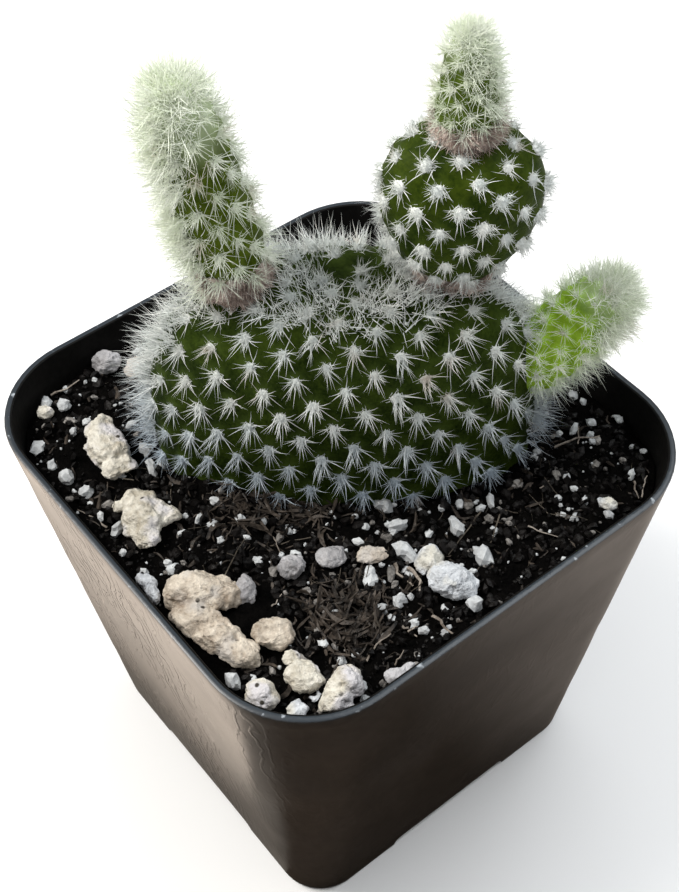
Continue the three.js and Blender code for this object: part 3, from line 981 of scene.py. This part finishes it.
soilSet = {
    "cells": 160, "inset": 1.3, "bottom": 3.9, "stemFoot": 56,
    "dark": (0.0006, 0.0005, 0.0005), "light": (0.0035, 0.003, 0.0027), "grain": (500, 2400),
    "bump": (0.9, 0.0006),
}


def soilTop(across, away):
    spot = Vector((across, away, 0))
    rough = noise.fractal(spot * 0.55, 1.0, 2.0, 4) * 0.42
    grains = abs(noise.noise(spot * 2.1)) * 0.45
    grains += abs(noise.noise(spot * 4.3 + Vector((9, 2, 0)))) * 0.28
    return soilHeight(across, away) + rough + grains - 0.25


def reachToWall(x, y, width, corner):
    # how far the rounded square reaches in the direction of this point
    size = math.hypot(x, y)
    dx, dy = abs(x) / size, abs(y) / size
    half = width / 2
    straight = half - corner
    reach = min(half / dx if dx > 1e-9 else 1e9, half / dy if dy > 1e-9 else 1e9)
    if reach * dx > straight and reach * dy > straight:
        along = straight * (dx + dy)
        reach = along + math.sqrt(max(0, along * along - 2 * straight * straight + corner * corner))
    return reach


def makeSoil():
    width, corner = wallAt(soilLevel, soilSet["inset"])
    cells = soilSet["cells"]
    soil = built(bpy.ops.mesh.primitive_grid_add, x_subdivisions=cells, y_subdivisions=cells, size=width * mm)
    editAll()
    bpy.ops.mesh.extrude_region_move(TRANSFORM_OT_translate={"value": (0, 0, 30 * mm)})
    leaveEdit()
    bottomShare = (potSize["baseWidth"] - 2 * soilSet["inset"]) / width
    for vertex in soil.data.vertices:
        x, y, upper = vertex.co.x / mm, vertex.co.y / mm, vertex.co.z > 1 * mm
        if abs(x) > 1e-6 or abs(y) > 1e-6:
            outer = reachToWall(x, y, width, corner)
            square = width / 2 / max(abs(x), abs(y)) * math.hypot(x, y)
            x, y = x * outer / square, y * outer / square
        if upper:
            across, away = unturned(Vector((x, y, 0)) * mm)
            vertex.co = Vector((x, y, soilTop(across, away))) * mm
        else:
            vertex.co = Vector((x * bottomShare, y * bottomShare, soilSet["bottom"])) * mm
    pick(soil)
    editAll()
    bpy.ops.mesh.normals_make_consistent(inside=False)
    pickNothingOf(soil)
    for face in soil.data.polygons:
        face.select = face.center.z < (soilSet["bottom"] + 0.1) * mm
    enterEdit()
    bpy.ops.mesh.dissolve_limited(angle_limit=math.radians(1))
    leaveEdit()
    shadeSmooth(soil, 60)
    soil.name = "soilBed"
    return soil, width / 2, corner


def makeCrumb(seed, detail, rough):
    crumb = built(bpy.ops.mesh.primitive_ico_sphere_add, subdivisions=detail, radius=1)
    draw = random.Random(seed)
    for vertex in crumb.data.vertices:
        lump = 0.3 * noise.noise(vertex.co * 1.3 + Vector((seed, 0, 0)))
        vertex.co *= 1 + rough * (draw.random() - 0.5) + lump
    return crumb


def makeSliver(seed):
    sliver = built(bpy.ops.mesh.primitive_cube_add, size=2)
    draw = random.Random(seed)
    enterEdit()
    for cut in (-0.5, 0.0, 0.5):
        bpy.ops.mesh.select_all(action="SELECT")
        bpy.ops.mesh.bisect(plane_co=(cut + draw.uniform(-0.15, 0.15), 0, 0), plane_no=(1, 0.2, 0))
        bpy.ops.transform.translate(value=(0, draw.uniform(-0.3, 0.3), draw.uniform(-0.4, 0.6)))
    leaveEdit()
    curl, sway = draw.uniform(-2.5, 5), draw.uniform(-3, 3)
    for vertex in sliver.data.vertices:
        pinch = 1 - 0.65 * min(1, abs(vertex.co.x)) ** 2
        vertex.co.y = vertex.co.y * pinch + sway * vertex.co.x ** 2
        vertex.co.z = vertex.co.z * pinch + curl * vertex.co.x ** 2
        vertex.co.x += draw.uniform(-0.15, 0.15)
    return sliver


def makeFibre(seed):
    fibre = built(bpy.ops.mesh.primitive_circle_add, vertices=4, radius=1, fill_type="NGON")
    draw = random.Random(seed)
    editAll()
    for _ in range(6):
        move = (draw.uniform(-1.6, 1.6), draw.uniform(-1.6, 1.6), 4)
        bpy.ops.mesh.extrude_region_move(TRANSFORM_OT_translate={"value": move})
        bpy.ops.transform.resize(value=(0.88, 0.88, 1))
    bpy.ops.mesh.select_all(action="SELECT")
    bpy.ops.mesh.fill_holes(sides=4)
    bpy.ops.mesh.normals_make_consistent(inside=False)
    leaveEdit()
    for vertex in fibre.data.vertices:
        vertex.co.z = vertex.co.z / 12 - 1
    return fibre


def tumble(draw, flat):
    lean = draw.uniform(-flat, flat)
    turn = Matrix.Rotation(draw.uniform(0, 2 * math.pi), 4, "Z")
    return turn @ Matrix.Rotation(lean, 4, "Y") @ Matrix.Rotation(draw.uniform(0, 6.3), 4, "X")


def isTaken(x, y, room, keepOff, grow):
    # too near the wall, or under the main stem
    if math.hypot(x, y) > reachToWall(x, y, room[0] * 2, room[1]) - keepOff:
        return True
    return isInside(stemSet["pad_main"], Vector((x, y, soilSet["stemFoot"])) * mm, grow)


def freeSpot(draw, room, keepOff):
    half, _, bodies = room
    for _ in range(60):
        x, y = draw.uniform(-half, half), draw.uniform(-half, half)
        if isTaken(x, y, room, keepOff, 0.2 * mm):
            continue
        if any(math.hypot(x - bx, y - by) < radius for bx, by, radius in bodies):
            continue
        return (x, y, *unturned(Vector((x, y, 0)) * mm))
    return None


def strew(sources, name, count, seed, sizes, shape, flat, sink, room, spots=None):
    draw = random.Random(seed)
    parts = []
    for _ in range(count):
        size = sizes[0] + (sizes[1] - sizes[0]) * draw.random() ** 2.2
        keepOff = 0.35 + size * max(shape) * 1.1
        if spots:
            (cx, cy), spread = draw.choice(spots)
            across, away = draw.gauss(cx, spread), draw.gauss(cy, spread)
            point = turned(across, away)
            x, y = point.x / mm, point.y / mm
            if isTaken(x, y, room, keepOff, 0):
                continue
        else:
            spot = freeSpot(draw, room, keepOff)
            if not spot:
                continue
            x, y, across, away = spot
        scale = Matrix.Diagonal((*(size * axis * draw.uniform(0.8, 1.25) for axis in shape), 1))
        height = soilTop(across, away) + size * sink
        place = Matrix.Translation(Vector((x, y, height)) * mm)
        source = draw.choice(sources)
        parts.append(copyPlaced(source, place @ tumble(draw, flat) @ Matrix.Scale(mm, 4) @ scale))
    piece = joinPieces(parts, name)
    dropPieces(*sources)
    return piece


print("stage: soil")
soilBed, soilHalf, soilCorner = makeSoil()
tones = soilSet["dark"], soilSet["light"], soilSet["grain"], soilSet["bump"]
soilLook = speckledMaterial("pottingMix", *tones, 0.75, 0.03)
finishPiece(soilBed, soilLook, "soil", ["soil"])

# Stones: each imported stone, worn and pitted

stoneSet = {
    "stone_cream": {"dark": (0.50, 0.45, 0.36), "light": (0.94, 0.90, 0.80), "vein": (0.74, 0.72, 0.755)},
    "stone_grey": {"dark": (0.27, 0.26, 0.27), "light": (0.54, 0.53, 0.54), "vein": (0.62, 0.61, 0.63)},
    "stone_tan": {"dark": (0.36, 0.29, 0.225), "light": (0.85, 0.76, 0.64), "vein": (0.62, 0.58, 0.54)},
    "stone_white": {"dark": (0.48, 0.50, 0.53), "light": (0.86, 0.89, 0.93), "vein": (0.74, 0.71, 0.62)},
}

stoneWear = {
    "grid": 0.17, "faces": 11, "faceReach": (0.76, 0.95), "flatness": 0.82, "softenings": 3,
    "lumps": ((0.55, 0.36), (1.3, 0.16)), "grains": ((2.6, 0.10), (5.2, 0.08)), "ridges": 0.13,
    "pitSize": 0.30, "pitDepth": 0.16,
}


def chopStone(stone, seed):
    # presses flat broken faces into the stone from random sides
    draw = random.Random(seed * 13)
    middle = sum((vertex.co for vertex in stone.data.vertices), Vector()) / len(stone.data.vertices)
    for _ in range(stoneWear["faces"]):
        way = Vector((draw.gauss(0, 1), draw.gauss(0, 1), draw.gauss(0, 0.9))).normalized()
        reach = max((vertex.co - middle).dot(way) for vertex in stone.data.vertices)
        limit = reach * draw.uniform(*stoneWear["faceReach"])
        for vertex in stone.data.vertices:
            past = (vertex.co - middle).dot(way) - limit
            if past > 0:
                vertex.co -= way * past * stoneWear["flatness"]


def keepLargest(stone):
    # drops loose grains that the even mesh can leave
    pick(stone)
    editAll()
    bpy.ops.mesh.separate(type="LOOSE")
    leaveEdit()
    parts = sorted(bpy.context.selected_objects, key=lambda part: len(part.data.vertices))
    dropPieces(*parts[:-1])
    pick(parts[-1])
    return parts[-1]


def fitToBox(stone, low, high):
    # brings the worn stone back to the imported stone's own size and place
    for axis in range(3):
        values = [vertex.co[axis] for vertex in stone.data.vertices]
        least, most = min(values), max(values)
        for vertex in stone.data.vertices:
            share = (vertex.co[axis] - least) / (most - least)
            vertex.co[axis] = low[axis] + (high[axis] - low[axis]) * share


def makeStone(node, seed):
    source = frame["nodes"][node]
    low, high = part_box(node)
    stone = source.copy()
    stone.data = source.data.copy()
    for key in list(stone.keys()):
        del stone[key]
    stone.parent = None
    pick(inScene(stone))
    editAll()
    bpy.ops.mesh.remove_doubles(threshold=0.00001)
    leaveEdit()
    remesh = stone.modifiers.new("even", "REMESH")
    remesh.mode = "VOXEL"
    remesh.voxel_size = stoneWear["grid"] * mm
    bpy.ops.object.modifier_apply(modifier="even")
    stone = keepLargest(stone)
    chopStone(stone, seed)
    smooth = stone.modifiers.new("soften", "SMOOTH")
    smooth.factor = 0.5
    smooth.iterations = stoneWear["softenings"]
    bpy.ops.object.modifier_apply(modifier="soften")
    stone.data.update()
    normals = [vertex.normal.copy() for vertex in stone.data.vertices]
    shift = Vector((seed * 3.7, seed * 1.9, 0))
    pits = []
    for vertex, normal in zip(stone.data.vertices, normals):
        spot = vertex.co / mm
        chunky = layered(spot, stoneWear["lumps"], shift)
        fine = layered(spot, stoneWear["grains"], shift)
        ridges = noise.ridged_multi_fractal(spot * 0.8 + shift, 0.9, 2.1, 4, 1.0, 2.0) - 1.0
        fine += ridges * stoneWear["ridges"]
        cell = noise.cell_vector(spot * 0.9 + shift)
        gap = noise.voronoi(spot * 1.5 + shift)[0][0]
        pit = max(0.0, 1 - gap / stoneWear["pitSize"]) * (1 if cell.x > 0.5 else 0.3)
        pits.append(pit)
        vertex.co += normal * ((chunky + fine - stoneWear["pitDepth"] * pit) * mm)
    setFloatAttribute(stone, "pit", pits)
    fitToBox(stone, low, high)
    bpy.ops.object.shade_smooth()
    stone.name = node.replace("stone_", "pebble_")
    return stone


def stoneMaterial(name, dark, light, vein):
    material, tree, shader = newMaterial(name, 0.9, 0.15)
    colour, grain = useSpeckle(tree, dark, light, 330, 1300)
    # paler or greyer zones across a stone, with small black spots in them that are the painted shade of gas
    # holes
    zone = clouds(tree, 190, 3)
    colour = blend(tree, remap(tree, zone, 0.50, 0.60, 0, 0.85), colour, vein)
    cells = addNode(tree, "ShaderNodeTexVoronoi", {"Vector": objectPlace(tree), "Scale": 620})
    hole = remap(tree, cells.outputs["Distance"], 0.20, 0.12)
    paintedHoleShade = calculate(tree, "MULTIPLY", hole, remap(tree, zone, 0.46, 0.56))
    colour = blend(tree, paintedHoleShade, colour, tuple(value * 0.12 for value in dark))
    # the pits are darkened as well: painted shade in their hollows
    colour = blend(tree, markedBy(tree, "pit"), colour, tuple(value * 0.3 for value in dark))
    useColour(tree, shader, colour, grain, 0.8, 0.0011)
    return material


print("stage: stones")
stoneLooks = {slot: stoneMaterial(slot, **tones) for slot, tones in stoneSet.items()}
slotOf = {row["node"]: row["material_slot"] for row in frame["record"]["subparts"]}
stoneRoom = []
for index, node in enumerate(sorted(name for name in frame["nodes"] if name.startswith("stone_"))):
    low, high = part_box(node)
    middle = [(low[axis] + high[axis]) / 2 / mm for axis in range(2)]
    stoneRoom.append((*middle, (high[0] - low[0]) / mm * 0.42))
    finishPiece(makeStone(node, index + 1), stoneLooks[slotOf[node]], slotOf[node], [node])

# perlite crumbs of the photograph's own size and place: across, away, width
perlitePlaces = (
    (-36.7, 8.0, 1.9), (-31.9, -3.6, 2.3), (-29.5, -5.7, 1.9), (-25.4, -10.9, 2.3), (13.7, -12.0, 2.2),
    (17.8, -8.6, 1.8), (7.5, -15.7, 2.5), (16.4, -16.4, 2.7), (-22.9, 0.8, 2.0), (-21.8, -2.8, 2.1),
    (-27.4, -9.6, 1.5), (7.0, -11.5, 2.6), (5.4, -8.9, 2.1), (-15.9, -10.5, 1.9), (-14.4, -11.1, 1.3),
    (-33.4, 7.6, 2.2), (-31.7, 3.1, 1.6), (-36.9, 1.3, 2.1), (-18.6, -17.1, 1.5), (-11.7, -32.7, 2.4),
    (3.5, -19.0, 2.1), (6.7, -22.1, 1.9), (14.9, -22.7, 2.2), (28.7, 2.1, 1.6), (35.4, 4.0, 1.0),
    (36.4, 3.5, 1.2), (35.6, -0.4, 1.0), (36.6, -1.5, 1.0),
)


def pulledIn(across, away, keepOff):
    # the same spot, or the nearest one towards the middle that clears the wall
    point = turned(across, away) / mm
    size = math.hypot(point.x, point.y)
    share = min(1, (reachToWall(point.x, point.y, soilHalf * 2, soilCorner) - keepOff) / size)
    return across * share, away * share


def layPerlite(sources):
    draw = random.Random(77)
    parts = []
    for across, away, width in perlitePlaces:
        half = width / 2
        across, away = pulledIn(across, away, half * 1.2)
        point = turned(across, away, soilTop(across, away) + width * 0.16)
        axes = (half * draw.uniform(*ends) for ends in ((0.85, 1.25), (0.55, 1.0), (0.5, 0.85)))
        shape = Matrix.Diagonal((*axes, 1))
        source = draw.choice(sources)
        place = Matrix.Translation(point) @ tumble(draw, 0.5)
        parts.append(copyPlaced(source, place @ Matrix.Scale(mm, 4) @ shape))
    return parts


# pale twigs and bark sticks of the photograph: across and away of both ends, half thickness
twigPlaces = (
    (-38.9, 10.8, -34.8, 11.1, 0.13), (-36.8, 9.4, -31.8, 11.4, 0.16), (-14.3, -2.2, -9.9, -2.6, 0.17),
    (-7.4, -12.9, -6.7, -15.9, 0.08), (-7.5, -22.3, -6.2, -21.0, 0.12), (2.8, -29.8, 5.8, -27.4, 0.13),
    (5.8, -30.2, 7.1, -28.9, 0.12), (6.8, -25.5, 8.5, -26.3, 0.2), (7.4, -26.2, 8.5, -25.3, 0.14),
    (21.7, -12.6, 25.0, -13.9, 0.12), (10.2, -24.2, 11.6, -27.3, 0.22), (7.8, -18.0, 9.2, -21.8, 0.3),
    (6.3, -17.7, 7.7, -20.4, 0.24), (26.0, -0.8, 31.4, -0.2, 0.15), (28.9, -0.2, 29.5, 2.2, 0.1),
    (23.7, -6.8, 24.5, -5.8, 0.12), (24.5, -5.8, 30.9, -5.5, 0.13), (34.7, -6.4, 35.0, -8.3, 0.13),
    (35.6, -8.3, 36.8, -5.7, 0.12), (-26.6, -11.0, -30.9, -8.7, 0.13), (-34.6, 16.7, -31.4, 15.4, 0.12),
)
# dried flakes round the joints of the young segments: stem, count, and the ranges of share and angle
flakePlaces = (
    ("pad_left_ear", 34, (0.15, 0.26), (25, 160)), ("pad_top", 80, (0.09, 0.27), (0, 360)),
    ("pad_middle", 22, (0.10, 0.18), (20, 160)),
)
# brown and pink fluff round the same joints
fluffPlaces = (
    ("pad_left_ear", 34, (0.14, 0.23), (10, 175)), ("pad_top", 78, (0.10, 0.26), (0, 360)),
    ("pad_middle", 20, (0.09, 0.16), (10, 170)),
)


def layCopies(sources, seed, places):
    # a copy of one of the sources at each of the places, which are drawn one by one
    draw = random.Random(seed)
    parts = [copyPlaced(draw.choice(sources), place) for place in places(draw)]
    dropPieces(*sources)
    return parts


def twigsLaid(draw):
    for x1, y1, x2, y2, thick in twigPlaces:
        spots = [pulledIn(x, y, 0.9) for x, y in ((x1, y1), (x2, y2))]
        ends = [turned(x, y, soilTop(x, y) + 0.35 + thick) for x, y in spots]
        way, middle = ends[1] - ends[0], (ends[0] + ends[1]) / 2
        yield spineMatrix(middle, way.normalized(), thick * mm, way.length / 2, draw.uniform(0, 6))


def spotsAround(draw, joints):
    # random points of the skin, each with the way out of the stem and the way along it
    for name, count, shares, angles in joints:
        stem = stemSet[name]
        base, along = stem["axes"][:2]
        for _ in range(count):
            centre = skinPoint(stem, draw.uniform(*shares), math.radians(draw.uniform(*angles)))
            yield centre, (centre - base - along * (centre - base).dot(along)).normalized(), along


def fluffLaid(draw):
    for centre, out, along in spotsAround(draw, fluffPlaces):
        place = {"centre": centre, "normal": (out + along * 0.2).normalized(), "lengthwise": along}
        yield placeMatrix(place, draw.uniform(0.8, 1.45), draw.uniform(0, 6.3), 0)


def flakesLaid(draw):
    for centre, out, along in spotsAround(draw, flakePlaces):
        way = out + along * draw.uniform(-0.6, 0.6)
        turn = way.to_track_quat("Z", "Y").to_matrix().to_4x4()
        size = draw.uniform(0.35, 0.95)
        shape = Matrix.Diagonal((size * mm, size * 0.7 * mm, size * 0.22 * mm, 1))
        yield Matrix.Translation(centre + out * 0.12 * mm) @ turn @ shape


strewnGrain, strewnBump = (330, 1900), (0.5, 0.0003)
# each look: dark and light tone, roughness, specular, slot
strewnLooks = {
    "crumbs": ((0.0009, 0.0008, 0.0008), (0.010, 0.0085, 0.008), 0.36, 0.12, "soil"),
    "bark": ((0.003, 0.0025, 0.0022), (0.085, 0.068, 0.055), 0.42, 0.2, "soil"),
    "grit": ((0.03, 0.027, 0.025), (0.34, 0.32, 0.30), 0.8, 0.22, "stone_grey"),
    "fibres": ((0.04, 0.033, 0.025), (0.17, 0.145, 0.115), 0.6, 0.22, "soil"),
    "twigs": ((0.12, 0.095, 0.075), (0.42, 0.37, 0.32), 0.7, 0.22, "soil"),
    "flakes": ((0.19, 0.13, 0.105), (0.86, 0.74, 0.67), 0.8, 0.22, "stem_main"),
    "perlite": ((0.36, 0.37, 0.38), (0.66, 0.68, 0.69), 0.85, 0.22, "stone_white"),
}
# how many, the seed of the draw, least and greatest half size, shape, lean, and how far it stands out
strewnSet = {
    "crumbs": {
        "count": 3800, "seed": 11, "sizes": (0.16, 0.85), "shape": (1, 0.8, 0.6), "flat": 1.2, "sink": 0.15,
    },
    "bark": {"count": 420, "seed": 12, "sizes": (0.45, 1.5), "shape": (1, 0.2, 0.1), "flat": 0.5, "sink": 0.06},
    "barkHeap": {
        "count": 780, "seed": 13, "sizes": (0.5, 1.7), "shape": (1, 0.16, 0.08), "flat": 0.75, "sink": 0.35,
        "spots": [((1.0, -23.3), 2.7), ((1.5, -25.0), 1.9), ((-11, -9.5), 2.2), ((-4.0, -8.6), 2.0)],
    },
    "fibres": {
        "count": 150, "seed": 14, "sizes": (1.0, 3.2), "shape": (0.025, 0.025, 1), "flat": 0.2, "sink": 0.12,
    },
    "perliteBits": {
        "count": 370, "seed": 15, "sizes": (0.14, 0.72), "shape": (1, 0.85, 0.75), "flat": 0.6, "sink": 0.3,
    },
    "grit": {"count": 240, "seed": 16, "sizes": (0.2, 0.75), "shape": (1, 0.8, 0.7), "flat": 0.8, "sink": 0.3},
}

print("stage: crumbs, bark, fibres and perlite")
room = (soilHalf, soilCorner, stoneRoom)
looks = {
    name: (speckledMaterial(name, dark, light, strewnGrain, strewnBump, roughness, specular), slot)
    for name, (dark, light, roughness, specular, slot) in strewnLooks.items()
}
looks["barkHeap"] = looks["bark"]
strewnSources = {
    "crumbs": [makeCrumb(seed, 1, 0.5) for seed in range(1, 6)],
    "bark": [makeSliver(seed) for seed in range(1, 6)],
    "barkHeap": [makeSliver(seed) for seed in range(6, 12)],
    "fibres": [makeFibre(seed) for seed in range(1, 6)],
    "perliteBits": [makeCrumb(seed, 2, 0.42) for seed in range(21, 29)],
    "grit": [makeCrumb(seed, 2, 0.5) for seed in range(41, 45)],
}


def strewn(name):
    return strew(strewnSources[name], name, room=room, **strewnSet[name])


for name in ("crumbs", "bark", "barkHeap"):
    finishPiece(strewn(name), *looks[name])
twigs = layCopies([makeFibre(seed) for seed in range(11, 16)], 91, twigsLaid)
finishPiece(joinPieces(twigs, "twigs"), *looks["twigs"])
flakes = layCopies([makeCrumb(seed, 2, 0.5) for seed in range(31, 36)], 53, flakesLaid)
flakes += layCopies(fluffTufts, 59, fluffLaid)
finishPiece(joinPieces(flakes, "flakes"), *looks["flakes"])
finishPiece(strewn("fibres"), *looks["fibres"])
perliteParts = layPerlite(strewnSources["perliteBits"])
finishPiece(joinPieces([strewn("perliteBits"), *perliteParts], "perlite"), *looks["perlite"])
finishPiece(strewn("grit"), *looks["grit"])

# Floor

print("stage: floor")
floor = built(bpy.ops.mesh.primitive_plane_add, size=3, location=(0, 0, -0.00005))
floor.name = "floor"
floorMaterial, tree, shader = newMaterial("floor", 1.0, 0.0)
setInputs(tree, shader, {"Base Color": (0.9, 0.9, 0.9)})
floor.data.materials.append(floorMaterial)
lightOnly(areaLight("floorOnly"), floor, "floorCollection")
